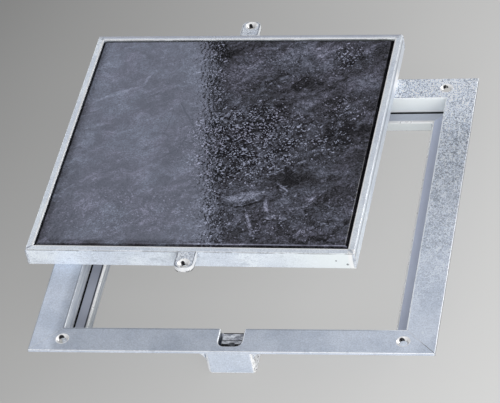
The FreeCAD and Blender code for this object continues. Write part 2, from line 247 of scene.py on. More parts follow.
    def facing(self):
        """How far a face looks to the right, to the front and up: the parts of its true normal."""
        parts = self.parts(self.add("ShaderNodeNewGeometry").outputs["Normal"])
        return parts["X"], self.times(parts["Y"], -1.0), parts["Z"]

    def output(self, kind, shader):
        self.put(self.add(kind).inputs["Surface"], shader.outputs[0])

    def blend(self, share, first, second):
        mixed = self.add("ShaderNodeMixShader")
        for socket, value in zip(mixed.inputs, (share, first.outputs[0], second.outputs[0])):
            self.put(socket, value)
        return mixed

    def surface(self, **inputs):
        named = {name.replace("_", " "): value for name, value in inputs.items()}
        self.output("ShaderNodeOutputMaterial", self.add("ShaderNodeBsdfPrincipled", named))


def new_material(name):
    """An empty material, and the graph that its surface is made in."""
    material = bpy.data.materials.new(name)
    material.use_nodes = True
    return material, Graph(material.node_tree)


def galvanised(name, dark, light, wrinkles, sinks, touches):
    """Hot-dip galvanised steel: cloudy zinc with a fine grain, wrinkled where wrinkles(graph, place) is 1.
    The wrinkles carry painted glints, and edges and bends a painted highlight.

    sinks(graph, place) is 1 in countersinks, painted white as a highlight over bright cut zinc, and 1 in the
    painted shadows in them; touches(graph, place, colour) gives the colour back with the marks of this piece
    on it, 1 where it is matt, and 1 on arrises with a painted highlight, whose normals lean to the front.
    """
    material, g = new_material(name)
    place = g.place()
    clouds = g.noise(place, 46 * MM, detail=3, roughness=0.55, distortion=0.4)
    smears = g.noise(place, 9 * MM, detail=3, roughness=0.6)
    grain = g.noise(place, 1.3 * MM, detail=2, roughness=0.6)
    skewed = g.stretched(place, (1.0, 0.70, 1.0))
    ripple = g.noise(skewed, 1.9 * MM, detail=1.0, roughness=0.5, distortion=1.6)
    wrinkled = wrinkles(g, place)
    sink_highlight, shade = sinks(g, place)
    soft, edge = g.rounded(0.9 * MM)

    tone = g.plus(g.times(clouds, 0.75), g.times(smears, 0.25))
    colour = g.mix(g.step(tone, 0.36, 0.62), dark, light)
    rough_part = g.times(g.minus(g.step(ripple, 0.36, 0.60), 0.40), wrinkled)
    fine_part = g.minus(grain, 0.5)
    level = g.plus(g.times(rough_part, 1.1), g.times(fine_part, 0.70))
    colour = g.scaled(colour, g.plus(level, 1.0))
    # Painted glints: white specks on the wrinkles stand in for the light they catch.
    painted_glints = g.times(g.step(ripple, 0.56, 0.62), wrinkled)
    colour = g.mix(painted_glints, colour, PAINTED_GLINT_ZINC)
    # Painted highlight: edges and bends are painted lighter, for light caught on rounded arrises.
    colour = g.mix(g.times(edge, g.step(smears, 0.30, 0.45, 0.55, 0.95)), colour, EDGE_HIGHLIGHT_ZINC)
    colour, matt, arris = touches(g, place, colour)
    # Countersinks painted white: a painted highlight over bright cut zinc, then a painted shadow in each.
    colour = g.mix(g.times(sink_highlight, 0.95), colour, WHITE)
    colour = g.mix(g.times(shade, g.step(grain, 0.26, 0.38)), colour, NEAR_BLACK)

    gloss = g.plus(g.step(smears, 0.3, 0.7, 0.42, 0.54), g.times(edge, -0.18))
    gloss = g.plus(gloss, g.times(matt, 0.3))
    heights = g.plus(g.times(ripple, wrinkled), g.times(grain, 0.22))
    smooth = g.minus(1.0, g.times(matt, 0.9))
    normal = g.bump(heights, 0.16 * MM, g.bump(g.times(smears, smooth), 0.25 * MM, soft))
    lean = g.vector("MULTIPLY", FRONT, g.even(arris))
    normal = g.vector("NORMALIZE", g.vector("ADD", normal, lean))
    g.surface(Base_Color=colour, Metallic=0.40, Roughness=gloss, Normal=normal)
    return material


def frame_sinks(g, place):
    """The four fixing holes' countersinks."""
    return g.sink(place, FIXING_HOLE, FIXING_SINK, 0.50)


def lug_sinks(g, place):
    """The lock screws' countersinks in the lugs."""
    return g.sink(lid_place(g, place), LOCK_HOLE, LOCK_SINK, 0.34)


def frame_measures(g, place):
    """The parts of a place, their sizes without sign, and the larger of the two level ones."""
    away = g.parts(g.vector("ABSOLUTE", place))
    return g.parts(place), away, g.most(away["X"], away["Y"])


def flange_painted_light(g, place, colour):
    """Painted light: zinc painted lighter at the front right, at the back and at the left edge, on faces that
    look up.
    """
    sides = g.parts(place)
    up = g.facing()[2]
    # Painted light: up-facing zinc made lighter at the front right, at the back and at the left edge.
    corner = g.times(g.step(sides["X"], -60 * MM, 190 * MM), g.step(sides["Y"], 60 * MM, -120 * MM))
    tone = g.plus(g.times(corner, 0.33), g.step(sides["Y"], 90 * MM, 170 * MM, 0.815, 1.18))
    tone = g.plus(tone, g.step(sides["X"], -172 * MM, -182 * MM, 0.0, 0.28))
    return g.scaled(colour, g.plus(g.times(g.minus(tone, 1.0), up), 1.0))


def recess_touches(g, place, colour):
    """Painted light making the wall paler, streaks on it at the right, a painted shadow at the foot of the
    back wall, painted shade on the seat, a painted highlight on a line along the ledge and on the seat's
    nose, and a painted shadow beside the left seat's nose.

    Gives the colour back, 1 on the seat, and 1 on the nose of the left seat.
    """
    sides, away, outmost = frame_measures(g, place)
    right, _, up = g.facing()
    recess = g.step(outmost, RECESS_HALF + 0.4 * MM, RECESS_HALF + 0.1 * MM)
    low = g.step(sides["Z"], -13 * MM, -15 * MM)

    wall = g.times(recess, g.step(g.math("ABSOLUTE", up), 0.9, 0.4))
    # Painted light: the recess walls are painted paler.
    colour = g.mix(g.times(wall, 0.9), colour, (0.96, 1.0, 1.0))
    streaks = g.noise(g.stretched(place, (1.0, 0.06, 1.0)), 2.2 * MM, detail=2)
    streaked = g.times(wall, g.step(right, 0.5, 0.9), g.step(streaks, 0.58, 0.42, 0.25, 0.80))
    colour = g.mix(streaked, colour, (0.52, 0.56, 0.66))
    # Painted highlight: a white line on the wall at the ledge.
    ledge_highlight = g.times(wall, g.near(sides["Z"], LEDGE_Z, 0.9 * MM, 0.4 * MM))
    colour = g.mix(g.times(ledge_highlight, 0.8), colour, WHITE)
    # Painted shadow: the back wall's foot over the seal is painted black, for the gap in shade there.
    foot = g.step(sides["Z"], SEAL_BOX[1].z + 1.0 * MM, SEAL_BOX[1].z + 0.5 * MM)
    foot = g.times(foot, wall, g.step(sides["Y"], 165 * MM, 167 * MM))
    colour = g.mix(g.times(foot, 0.95), colour, (0.015, 0.015, 0.02))

    # Painted shade: the seat is painted darker, and the right seat darker still by its wall.
    seat = g.times(recess, low, g.step(up, 0.95, 0.99))
    seat_shade = g.mix(g.step(sides["Y"], -60 * MM, 130 * MM), (0.535, 0.55, 0.625), (0.65, 0.675, 0.74))
    on_right = g.step(g.minus(sides["X"], away["Y"]), -2 * MM, 2 * MM)
    right_seat_shade = g.mix(g.step(sides["X"], 157 * MM, 163 * MM), (0.79, 0.83, 0.97), (0.67, 0.71, 0.84))
    colour = g.mix(g.times(seat, 0.85), colour, g.mix(on_right, seat_shade, right_seat_shade))

    on_left = g.step(g.plus(sides["X"], away["Y"]), 2 * MM, -2 * MM)
    # Painted highlight: the seat's nose is painted white.
    nose_highlight = g.times(g.step(outmost, SEAT_INNER + 2.4 * MM, SEAT_INNER + 2.0 * MM), g.step(up, 0.1, 0.3), low)
    colour = g.mix(g.times(nose_highlight, 0.9), colour, WHITE)
    # Painted shadow: a dark line beside the left seat's nose.
    lip_shadow = g.times(g.near(outmost, SEAT_INNER + 3.1 * MM, 1.0 * MM, 0.6 * MM), low, g.step(up, 0.5, 0.8))
    colour = g.mix(g.times(lip_shadow, on_left, 0.9), colour, LINE_DARK)
    return colour, seat, g.times(nose_highlight, on_left)


def flange_lines(g, place, colour):
    """A painted highlight along the edge over the right wall, dark mitres, dark inner edges, and painted
    shade on the outer edges and on the notches' walls.

    Gives the colour back, and 1 on the painted highlight.
    """
    sides, away, outmost = frame_measures(g, place)
    right, _, up = g.facing()
    flat = g.step(up, 0.9, 0.99)

    # Painted highlight: a bright line along the flange's inner edge over the right wall.
    keen_highlight = g.step(outmost, RECESS_HALF + 1.7 * MM, RECESS_HALF + 0.9 * MM)
    keen_highlight = g.times(keen_highlight, flat, g.step(sides["X"], 120 * MM, 160 * MM))
    keen_highlight = g.times(keen_highlight, g.step(g.noise(place, 7 * MM, detail=2), 0.36, 0.50, 0.3, 1.0))
    keen_highlight = g.times(keen_highlight, g.step(sides["Z"], FLANGE_TOP - 0.6 * MM, FLANGE_TOP - 0.2 * MM))
    colour = g.mix(keen_highlight, colour, (0.90, 0.95, 1.0))

    off = g.math("ABSOLUTE", g.minus(away["X"], away["Y"]))
    off = g.plus(off, g.times(g.noise(place, 4 * MM), 0.5 * MM))
    mitre = g.times(g.step(off, 0.85 * MM, 0.45 * MM),
                    g.step(outmost, FRAME_HALF - 19 * MM, FRAME_HALF - 9 * MM))
    mitre = g.times(mitre, g.step(g.minus(sides["X"], sides["Y"]), 0.30, 0.34, 0.2, 1.0))
    mitre = g.times(mitre, g.step(g.noise(place, 9 * MM, detail=1), 0.36, 0.48, 0.3, 0.9))
    inner = g.near(outmost, RECESS_HALF + 1.3 * MM, 0.8 * MM, 0.3 * MM)
    inner = g.times(inner, flat, g.step(sides["X"], 160 * MM, 120 * MM, 0.0, 0.4))
    # Painted shade: the right side face of the flange and the left flange's outer edge are painted darker.
    outer = g.times(g.step(sides["Z"], 2.5 * MM, 2.2 * MM),
                    g.step(outmost, FRAME_HALF - 0.4 * MM, FRAME_HALF))
    outer = g.times(outer, g.step(right, 0.5, 0.9))
    beside = g.times(g.step(sides["X"], -FRAME_HALF + 1.3 * MM, -FRAME_HALF + 0.8 * MM), g.step(up, 0.5, 0.9))
    outer = g.times(g.most(outer, g.times(beside, 0.7)), 0.75)

    # Painted shade on the notches' walls.
    notch = g.times(g.step(away["X"], NOTCH_HALF + 0.5 * MM, NOTCH_HALF), g.step(up, 0.5, 0.2))
    notch = g.times(notch, g.step(away["Y"], RECESS_HALF + 1 * MM, RECESS_HALF + 2 * MM))
    notch = g.times(notch, g.step(sides["Z"], FLANGE_TOP - 0.2 * MM, FLANGE_TOP - 0.6 * MM))
    notch = g.times(notch, g.step(away["Y"], FRAME_HALF - 1 * MM, FRAME_HALF - 3 * MM))
    return g.mix(g.most(mitre, inner, outer, g.times(notch, 0.9)), colour, LINE_DARK), keen_highlight


def pocket_touches(g, place, colour):
    """Mottled fronts of the lock pockets, and painted light that makes their right sides white, with dark
    cracks.
    """
    sides, away, _ = frame_measures(g, place)
    right = g.facing()[0]
    pocket = g.times(g.step(away["X"], POCKET_BOX[1].x + 1 * MM, POCKET_BOX[1].x + 0.5 * MM),
                     g.step(away["Y"], RECESS_HALF + WALL, RECESS_HALF + WALL + 0.5 * MM),
                     g.step(sides["Z"], -0.2 * MM, -0.6 * MM))
    mottle = g.noise(place, 6 * MM, detail=3, roughness=0.6, distortion=0.5)
    colour = g.mix(g.times(pocket, g.step(mottle, 0.50, 0.36), 0.4), colour, (0.52, 0.58, 0.66))
    hem = g.times(pocket, g.step(sides["Z"], POCKET_BOX[0].z + 1.6 * MM, POCKET_BOX[0].z + 1.0 * MM))
    colour = g.mix(g.times(hem, 0.45), colour, (0.30, 0.32, 0.38))
    # Painted light: the pockets' sides that face right are painted white.
    beside = g.times(pocket, g.step(right, 0.25, 0.6))
    colour = g.mix(beside, colour, WHITE)
    crack = g.near(g.noise(place, 7 * MM, detail=1, distortion=1.2), 0.5, 0.030, 0.012)
    return g.mix(g.times(beside, crack), colour, (0.05, 0.05, 0.06))


def frame_touches(g, place, colour):
    """All marks of the frame's bars and pockets, painted light and shade among them."""
    colour = flange_painted_light(g, place, colour)
    colour, seat, nose_highlight = recess_touches(g, place, colour)
    colour, keen_highlight = flange_lines(g, place, colour)
    return pocket_touches(g, place, colour), seat, g.most(keen_highlight, g.times(nose_highlight, 0.8))


def lid_place(g, place):
    """Places in the lid's own drawing."""
    return g.inside(place, LID_PLACE.translation, LID_ANGLE)


def frame_wrinkles(g, place):
    """The zinc ran wrinkled towards the back right corner of the frame, and smooth elsewhere."""
    along = g.vector("DOT_PRODUCT", place, (0.45, 0.9, 0.0))
    patchy = g.times(g.minus(g.noise(place, 30 * MM), 0.5), 0.12)
    on_top = g.step(g.parts(place)["Z"], FLANGE_TOP - 1 * MM, FLANGE_TOP)
    return g.times(g.step(g.plus(along, patchy), -110 * MM, 210 * MM), on_top)


def lid_wrinkles(g, place):
    """The lid's zinc is smooth, but for a few rough patches."""
    return g.step(g.noise(place, 38 * MM, detail=2), 0.56, 0.74, 0.0, 0.6)


def lug_wrinkles(g, place):
    """The lugs' zinc is grainy all over."""
    return g.step(g.noise(place, 5 * MM, detail=2), 0.35, 0.60, 0.35, 0.8)


def lug_touches(g, place, colour):
    """A dark line along the outline of the lugs, painted light that makes their sides white, and a dark foot
    to the sides.
    """
    inside = lid_place(g, place)
    away = g.parts(g.vector("ABSOLUTE", inside))
    up = g.math("ABSOLUTE", g.facing()[2])
    across = g.most(g.minus(away["X"], LUG_HALF_WIDTH - LUG_CORNER), 0.0)
    along = g.most(g.minus(away["Y"], LUG_TIP - LUG_CORNER), 0.0)
    reach = g.math("SQRT", g.plus(g.times(across, across), g.times(along, along)))
    outline = g.near(reach, LUG_CORNER - 1.1 * MM, 0.8 * MM, 0.4 * MM)
    outline = g.times(outline, g.step(up, 0.9, 0.99))
    outline = g.times(outline, g.step(g.noise(place, 6 * MM, detail=2), 0.36, 0.52, 0.35, 0.75))
    colour = g.mix(outline, colour, (0.12, 0.13, 0.16))
    # Painted light: the lugs' sides are painted white.
    side = g.step(up, 0.5, 0.2)
    colour = g.mix(g.times(side, 0.9), colour, (0.98, 0.99, 1.0))
    foot = g.step(g.parts(inside)["Z"], LUG_UNDER + 1.9 * MM, LUG_UNDER + 1.1 * MM)
    foot = g.times(foot, side, g.step(g.noise(place, 5 * MM), 0.42, 0.55, 0.1, 0.85))
    return g.mix(foot, colour, (0.04, 0.04, 0.035)), 0.0, 0.0


# Dark pits at the right end of the lid's front, in millimetres: place along the lid, height over its
# underside, radius.
LID_PITS = ((160, 5.4, 1.5), (149, 10, 1.1))


def lid_touches(g, place, colour):
    """A painted highlight on the rim's inner edge and the front right corner, painted shade on the back rim,
    a dark line over the smudged front with painted light towards its right end, and bands, painted shade and
    a painted reflection on the right side.
    """
    inside = lid_place(g, place)
    own = g.parts(inside)
    away = g.parts(g.vector("ABSOLUTE", inside))
    outmost = g.most(away["X"], away["Y"])
    right, front, up = g.facing()
    on_top, on_front, on_right = (g.step(face, 0.5, 0.9) for face in (up, front, right))

    # Painted shade on the outer part of the back rim's top.
    back = g.times(g.step(own["Y"], LID_HALF - 4.2 * MM, LID_HALF - 3.4 * MM), on_top)
    colour = g.mix(g.times(back, 0.7), colour, (0.42, 0.44, 0.52))
    # Painted highlight: the rim's inner edge is painted white, and its normals lean to the front.
    rim = g.times(on_top, g.step(outmost, LID_HALF - RIM + 2.0 * MM, LID_HALF - RIM + 1.4 * MM))
    colour = g.mix(rim, colour, (0.97, 0.98, 1.0))

    shaded = g.times(on_right, g.step(own["Y"], -80 * MM, 0, 0.0, 0.36))
    colour = g.mix(shaded, colour, (0.50, 0.52, 0.56))
    smudges = g.noise(g.stretched(inside, (0.35, 1.0, 1.0)), 2.6 * MM, detail=4, roughness=0.65)
    colour = g.mix(g.times(on_front, g.step(smudges, 0.44, 0.34, 0.0, 0.55)), colour, (0.50, 0.56, 0.62))
    # Painted light: the front is painted lighter towards its right end.
    painted_light_front = g.times(on_front, g.step(own["X"], 60 * MM, 160 * MM))
    colour = g.mix(painted_light_front, colour, (0.90, 0.955, 0.97))
    # Painted highlight: the front right corner is painted white.
    corner = g.times(g.step(own["X"], LID_HALF - 8 * MM, LID_HALF - 4 * MM),
                     g.step(own["Y"], 8 * MM - LID_HALF, 4 * MM - LID_HALF))
    colour = g.mix(g.times(corner, 0.9), colour, WHITE)
    flat = g.stretched(inside, (1.0, 0.0, 1.0))
    for x, z, radius in LID_PITS:
        pit = g.step(g.vector("DISTANCE", flat, (x * MM, 0.0, z * MM)), radius * MM, 0.6 * radius * MM)
        colour = g.mix(g.times(pit, on_front, 0.8), colour, (0.10, 0.11, 0.12))

    line = g.times(on_front, g.near(own["Z"], LID_HEIGHT - 0.8 * MM, 0.8 * MM, 0.5 * MM))
    line = g.times(line, g.step(g.noise(place, 14 * MM, detail=2), 0.36, 0.52, 0.1, 0.5))
    band = g.times(g.near(own["Z"], 13.5 * MM, 2.4 * MM, 1.4 * MM), on_right, 0.42)
    colour = g.mix(g.most(line, band), colour, (0.06, 0.065, 0.08))

    # Painted reflection: a white patch low on the right side.
    painted_reflection = mark(g, g.stretched(inside, (0.0, 1.0, 1.0)), 0.0, 108, 0.1, 22, 0)
    painted_reflection = g.times(painted_reflection, on_right, g.step(own["Z"], 11 * MM, 9 * MM))
    return g.mix(painted_reflection, colour, WHITE), 0.0, rim


# Marks in the slab: the mark's place in the lid's drawing, half its length and width, its angle, and how
# much lighter, or darker, it is than the ground. In millimetres and degrees. Clouds, then strokes.
STONE_CLOUDS = (
    (-138, 112, 30, 44, 0, 0.030),
    (-72, -30, 26, 20, 0, 0.040),
    (-105, 35, 40, 28, 20, 0.018),
    (-95, -58, 34, 9, 5, 0.035),
    (8, 105, 42, 34, 20, 0.070),
    (60, 128, 96, 44, 0, 0.038),
    (136, 86, 32, 20, 20, 0.090),
    (80, 142, 38, 16, -10, 0.070),
    (96, 62, 34, 9, 30, 0.060),
    (104, 96, 16, 12, 40, 0.050),
    (-8, -6, 14, 8, 62, 0.110),
    (12, -108, 18, 8, 20, 0.040),
    (-22, 140, 34, 26, 0, -0.040),
    (55, 88, 56, 34, 10, -0.030),
    (90, -58, 36, 28, 0, -0.070),
    (132, 4, 34, 44, 0, -0.075),
    (28, -24, 18, 12, -20, -0.035),
    (50, 4, 84, 62, 0, -0.027),
    (40, -132, 28, 22, 0, -0.030),
    (136, -136, 34, 26, 0, -0.045),
    (20, -60, 26, 14, 10, -0.030),
    (120, 132, 32, 28, 0, -0.030),
)
STONE_STROKES = (
    (-125, 72, 34, 3.0, 28, 0.095),
    (-97, 98, 16, 2.4, 75, 0.075),
    (42, -88, 27, 9.0, 16, 0.160),
    (46, -101, 32, 1.8, 18, -0.060),
    (55, -128, 25, 2.4, -72, 0.120),
    (68, -101, 13, 3.2, -75, 0.170),
    (75, -117, 8, 3.6, -5, 0.170),
    (80, -72, 14, 1.7, -52, 0.140),
    (113, -90, 7, 2.1, 55, 0.150),
    (94, -36, 7, 2.1, 20, 0.180),
    (68, -52, 15, 1.9, 34, 0.120),
    (100, -104, 16, 2.0, 20, 0.100),
    (-42, 38, 32, 1.4, -62, -0.065),
    (-37, -2, 24, 1.3, 78, -0.065),
    (-60, 20, 36, 1.2, 86, -0.045),
    (-48, -22, 15, 1.2, 40, -0.060),
)
# Where light flecks lie: middle, half length and width, angle, and the share of the cells that have one.
FLECK_FIELDS = (
    (27, -5, 92, 90, 0, 1.00),
    (119, 132, 34, 32, 0, 0.62),
    (124, 46, 54, 34, 0, 0.50),
    (98, -4, 64, 56, 0, 0.46),
    (70, -112, 130, 60, 0, 0.26),
    (30, 112, 140, 60, 0, 0.20),
    (-75, -112, 100, 50, 0, 0.60),
)
DARKEST_STONE = 0.020
STONE_RELIEF = 0.038 * MM
# How far the line between the pale and the dark half leans to the left, for each metre to the back.
SPLIT_LEAN = 0.17


def mark(g, place, x, y, half_length, half_width, angle, core=0.35):
    """1 in the core of an elongated mark, falling to 0 at its edge. In millimetres and degrees."""
    inside = g.inside(place, (x * MM, y * MM, 0.0), angle, (half_length * MM, half_width * MM, 1.0))
    return g.step(g.vector("LENGTH", g.stretched(inside, (1.0, 1.0, 0.0))), 1.0, core)


def flecks(g, place, size, aspect, angle, crowd):
    """Short bright strokes, one to a cell at most: how bright a place is, with crowd the share of cells."""
    cell = g.cells(g.inside(place, angle=angle, size=(aspect, 1.0, 1.0)), size)
    lot = g.parts(cell["Color"])
    present = g.step(g.minus(crowd, lot["X"]), 0.0, 0.03)
    stroke = g.step(cell["Distance"], 0.42, 0.24)
    return g.times(stroke, present, g.plus(g.times(lot["Y"], 0.8), 0.2))


def stone_ground(g, place, warped, bent, clouds, lit):
    """How light the stone is without its flecks: clouds, wisps, placed marks, mottling and veins."""
    wisps = g.noise(g.inside(warped, angle=30, size=(2.2, 1.0, 1.0)), 9 * MM, detail=5, roughness=0.68,
                    distortion=0.5)
    mottle = g.noise(bent, 4.5 * MM, detail=3, roughness=0.62, distortion=0.8)
    ground = g.plus(g.step(clouds, 0.40, 0.60, 0.036, 0.080), g.step(wisps, 0.46, 0.66, 0.0, 0.065))
    for shapes, around, core in ((STONE_CLOUDS, warped, 0.0), (STONE_STROKES, bent, 0.35)):
        for *shape, lift in shapes:
            ground = g.plus(ground, g.times(mark(g, around, *shape, core), lift))
    # Left of the split the mottling is painted fainter, as the glare veils it there.
    blotchy = g.times(g.step(mottle, 0.34, 0.66, -0.42, 0.46), g.plus(g.times(lit, 0.8), 0.2))
    ground = g.times(ground, g.plus(blotchy, 1.0))
    crack = g.cells(warped, 62 * MM, "DISTANCE_TO_EDGE")["Distance"]
    seen = g.step(g.noise(place, 40 * MM, detail=1), 0.46, 0.60)
    vein = g.times(g.step(crack, 0.012, 0.002), seen)
    return g.plus(g.most(ground, DARKEST_STONE), g.times(vein, 0.030))


def stone_flecks(g, place, warped, bent, past_split, lit, ground):
    """The ground with its light flecks, painted fainter under the glare left of the split. It is darker and
    grainier where they crowd, and beside the split, where the speckle is painted glints.
    """
    crowd = 0.03
    for *shape, share in FLECK_FIELDS:
        crowd = g.most(crowd, g.times(mark(g, warped, *shape), share))
    crowd = g.times(crowd, g.step(g.noise(place, 8 * MM, detail=3), 0.36, 0.56, 0.25, 1.0))
    ground = g.times(ground, g.step(g.times(crowd, lit), 0.20, 0.85, 1.0, 0.24))
    # Painted glints: a speckled band beside the split, for the mirrored card's edge broken up by the relief.
    split_glints = g.times(g.step(past_split, -22 * MM, -12 * MM), g.step(past_split, 15 * MM, -1 * MM))
    split_glints = g.times(split_glints, g.step(g.noise(place, 16 * MM, detail=2), 0.36, 0.56, 0.3, 1.0))
    grain = g.noise(place, 1.5 * MM, detail=2, roughness=0.7)
    rough = g.plus(g.most(g.times(crowd, 0.5), split_glints), 0.55)
    uneven = g.plus(g.times(g.step(grain, 0.30, 0.70, -1.0, 1.0), rough), 1.0)
    ground = g.times(ground, g.most(uneven, 0.08))
    ground = g.times(ground, g.minus(1.0, g.times(split_glints, 0.38)))
    crowd = g.most(crowd, g.times(split_glints, 0.5))
    bright = g.most(flecks(g, bent, 1.7 * MM, 1.5, 80, crowd),
                    flecks(g, bent, 2.1 * MM, 2.0, -35, g.times(crowd, 0.75)),
                    flecks(g, bent, 2.8 * MM, 2.2, 40, g.times(crowd, 0.40)))
    return g.plus(ground, g.times(bright, lit, g.step(crowd, 0.10, 0.60, 0.27, 0.51)))


def stone_edges(g, parts, clouds, ground):
    """The ground, with a painted dark reflection on the bevel and a painted highlight along the front; and 1
    on the bevel.
    """
    rim = g.most(g.math("ABSOLUTE", parts["X"]), g.math("ABSOLUTE", parts["Y"]))
    arris = SLAB_HALF - SLAB_BEVEL
    bevel = g.step(rim, arris, arris + 0.4 * MM)
    to_edge = g.math("MINIMUM", parts["X"], parts["Y"])
    # Painted dark reflection: the bevel is painted darker.
    near_bevel_painted_dark = g.step(parts["X"], -60 * MM, 40 * MM, 0.20, 0.60)
    bevel_painted_dark = g.step(to_edge, SLAB_BEVEL - arris, 2 * SLAB_BEVEL - arris, near_bevel_painted_dark, 0.85)
    ground = g.times(ground, g.minus(1.0, g.times(bevel, bevel_painted_dark)))
    # Painted highlight: a light line along the front arris.
    line = g.near(parts["Y"], 0.4 * MM - arris, 0.8 * MM, 0.3 * MM)
    line = g.times(line, g.step(parts["X"], -20 * MM, 20 * MM, 0.15, 1.0))
    return g.plus(ground, g.times(line, g.step(clouds, 0.30, 0.60, 0.10, 0.26))), bevel


def polished_stone():
    """Dark cloudy stone with thin veins, light flecks and a polish that leaves a fine relief."""
    material, g = new_material("polished_stone")
    place = lid_place(g, g.place())
    parts = g.parts(place)
    wander = g.add("ShaderNodeTexNoise", {"Vector": place, "Scale": 1 / (15 * MM), "Detail": 4.0})
    drift = g.vector("SUBTRACT", wander.outputs["Color"], (0.5, 0.5, 0.5))
    warped = g.vector("ADD", place, g.stretched(drift, (24 * MM, 24 * MM, 0.0)))
    bent = g.vector("ADD", place, g.stretched(drift, (9 * MM, 9 * MM, 0.0)))
    past_split = g.plus(parts["X"], g.times(parts["Y"], SPLIT_LEAN))
    # Painted light: left of the split, where the slab mirrors the bright card, flecks and mottling are
    # painted fainter.
    lit = g.step(past_split, -46 * MM, -11 * MM, 0.32, 1.0)

    clouds = g.noise(warped, 40 * MM, detail=5, roughness=0.62, distortion=0.6)
    ground = stone_ground(g, place, warped, bent, clouds, lit)
    ground = stone_flecks(g, place, warped, bent, past_split, lit, ground)
    ground, bevel = stone_edges(g, parts, clouds, ground)

    calm = g.times(lit, 0.34)
    hue = g.step(g.noise(place, 38 * MM, detail=2), 0.40, 0.60, calm, g.minus(1.0, calm))
    cool = g.mix(hue, (1.01, 0.965, 1.29), (0.885, 1.0, 1.275))
    tint = g.mix(g.step(ground, 0.030, 0.110), (1.00, 0.99, 1.17), cool)
    margin = g.math("MINIMUM", g.plus(parts["X"], SLAB_HALF), g.plus(parts["Y"], SLAB_HALF))
    shine = g.times(g.step(margin, 3 * MM, 11 * MM, 0.16, 0.5), g.minus(1.0, bevel))
    relief = g.noise(place, 3.2 * MM, detail=0.8, roughness=0.5)
    g.surface(Base_Color=g.scaled(tint, ground), Roughness=g.step(bevel, 0.0, 1.0, 0.035, 0.5), IOR=1.55,
              Specular_IOR_Level=shine, Normal=g.bump(relief, STONE_RELIEF))
    return material


def bridge_zinc():
    """Zinc on the bridges under the notches: dull, mottled and dark, with dark lines across, and a painted
    shadow where they run under the notch's end.
    """
    material, g = new_material("bridge_zinc")
    place = g.place()
    smears = g.noise(g.stretched(place, (0.5, 1.0, 1.0)), 2.4 * MM, detail=3, roughness=0.65)
    colour = g.mix(g.step(smears, 0.36, 0.62), (0.32, 0.34, 0.40), (0.90, 0.94, 1.0))
    depth = g.parts(g.vector("ABSOLUTE", place))["Y"]
    end_line = g.step(depth, RECESS_HALF + 1.6 * MM, RECESS_HALF + 1.0 * MM)
    middle_line = g.near(depth, LOCK_HOLE.y - 5.6 * MM, 0.9 * MM, 0.4 * MM)
    # Painted shadow: the bridge is painted black where it runs under the notch's end.
    notch_end_shadow = g.step(depth, LOCK_HOLE.y - 1.4 * MM, LOCK_HOLE.y - 0.8 * MM)
    colour = g.mix(g.most(end_line, g.times(middle_line, 0.75), notch_end_shadow), colour, NEAR_BLACK)
    g.surface(Base_Color=colour, Metallic=0.35, Roughness=0.6, Normal=g.bump(smears, 0.4 * MM))
    return material


def plain(name, dark, light, size, depth, **inputs):
    """A material of two close tones and a fine relief, both from one noise."""
    material, g = new_material(name)
    spread = g.noise(g.place(), size, detail=4, roughness=0.6)
    colour = g.mix(g.step(spread, 0.35, 0.65), dark, light)
    g.surface(Base_Color=colour, Normal=g.bump(spread, depth), **inputs)
    return material


def weld_metal():
    """Zinc over weld beads: brighter than the plates, rough, with dark pits."""
    material, g = new_material("weld_zinc")
    place = g.place()
    lumps = g.noise(place, 2.2 * MM, detail=3, roughness=0.6)
    pits = g.step(g.noise(place, 1.6 * MM, detail=1), 0.36, 0.28)
    colour = g.mix(g.step(lumps, 0.35, 0.62), (0.46, 0.50, 0.57), (0.78, 0.82, 0.88))
    colour = g.mix(g.times(pits, 0.7), colour, (0.10, 0.11, 0.13))
    g.surface(Base_Color=colour, Metallic=0.40, Roughness=g.step(lumps, 0.3, 0.7, 0.40, 0.58),
              Normal=g.bump(lumps, 0.3 * MM))
    return material


def dress(nodes, material):
    """Gives CAD nodes a material in place of their own."""
    for name in nodes:
        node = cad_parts[name]
        if not node.material_slots:
            node.data.materials.append(None)
        for slot in node.material_slots:
            slot.link = "OBJECT"
            slot.material = material


# Welds: points round a ring, distances between rings, the pitch of the ripples, and least numbers.
BEAD_POINTS = 12
BEAD_STEP = 0.45 * MM
BEAD_PITCH = 1.7 * MM
FILLET_POINTS = 7
FILLET_STEP = 0.8 * MM
FILLET_BURIED = 0.3 * MM
BLOB_POINTS = 10
BLOB_ROWS = 7
LEAST_RINGS = 8
# Lumps of weld metal beside each inner corner of the seat.
SEAT_LUMPS = 6


def chance_shift(draw):
    """A random place in the noise, so that no two welds are alike."""
    return Vector((draw.uniform(0, 90), draw.uniform(0, 90), 0))


def bead(start, end, out, radius, draw, proud=1.0):
    """Rings of a rippled weld bead from start to end, flattened along out where proud is under 1."""
    along = (end - start).normalized()
    side = along.cross(out).normalized()
    length = (end - start).length
    count = max(LEAST_RINGS, round(length / BEAD_STEP))
    shift = chance_shift(draw)
    rings = []
    for step in range(count + 1):
        share = step / count
        at = start + along * (length * share)
        ends = min(share, 1 - share) * length / radius
        taper = math.sqrt(max(0.03, 1 - max(0.0, 1 - ends) ** 2))
        wave = 0.10 * math.sin(2 * math.pi * length * share / BEAD_PITCH)
        swell = 0.22 * noise.noise(shift + at / (3.2 * MM))
        size = radius * taper * (1 + wave + swell)
        ring = []
        for corner in range(BEAD_POINTS):
            angle = 2 * math.pi * corner / BEAD_POINTS
            across, ahead = math.cos(angle), math.sin(angle)
            rough = 1 + 0.10 * noise.noise(shift + Vector((across, ahead, step * 0.4)) * 2)
            ring.append(at + side * (across * size * rough) + out * (ahead * size * rough * proud))
        rings.append(ring)
    return rings


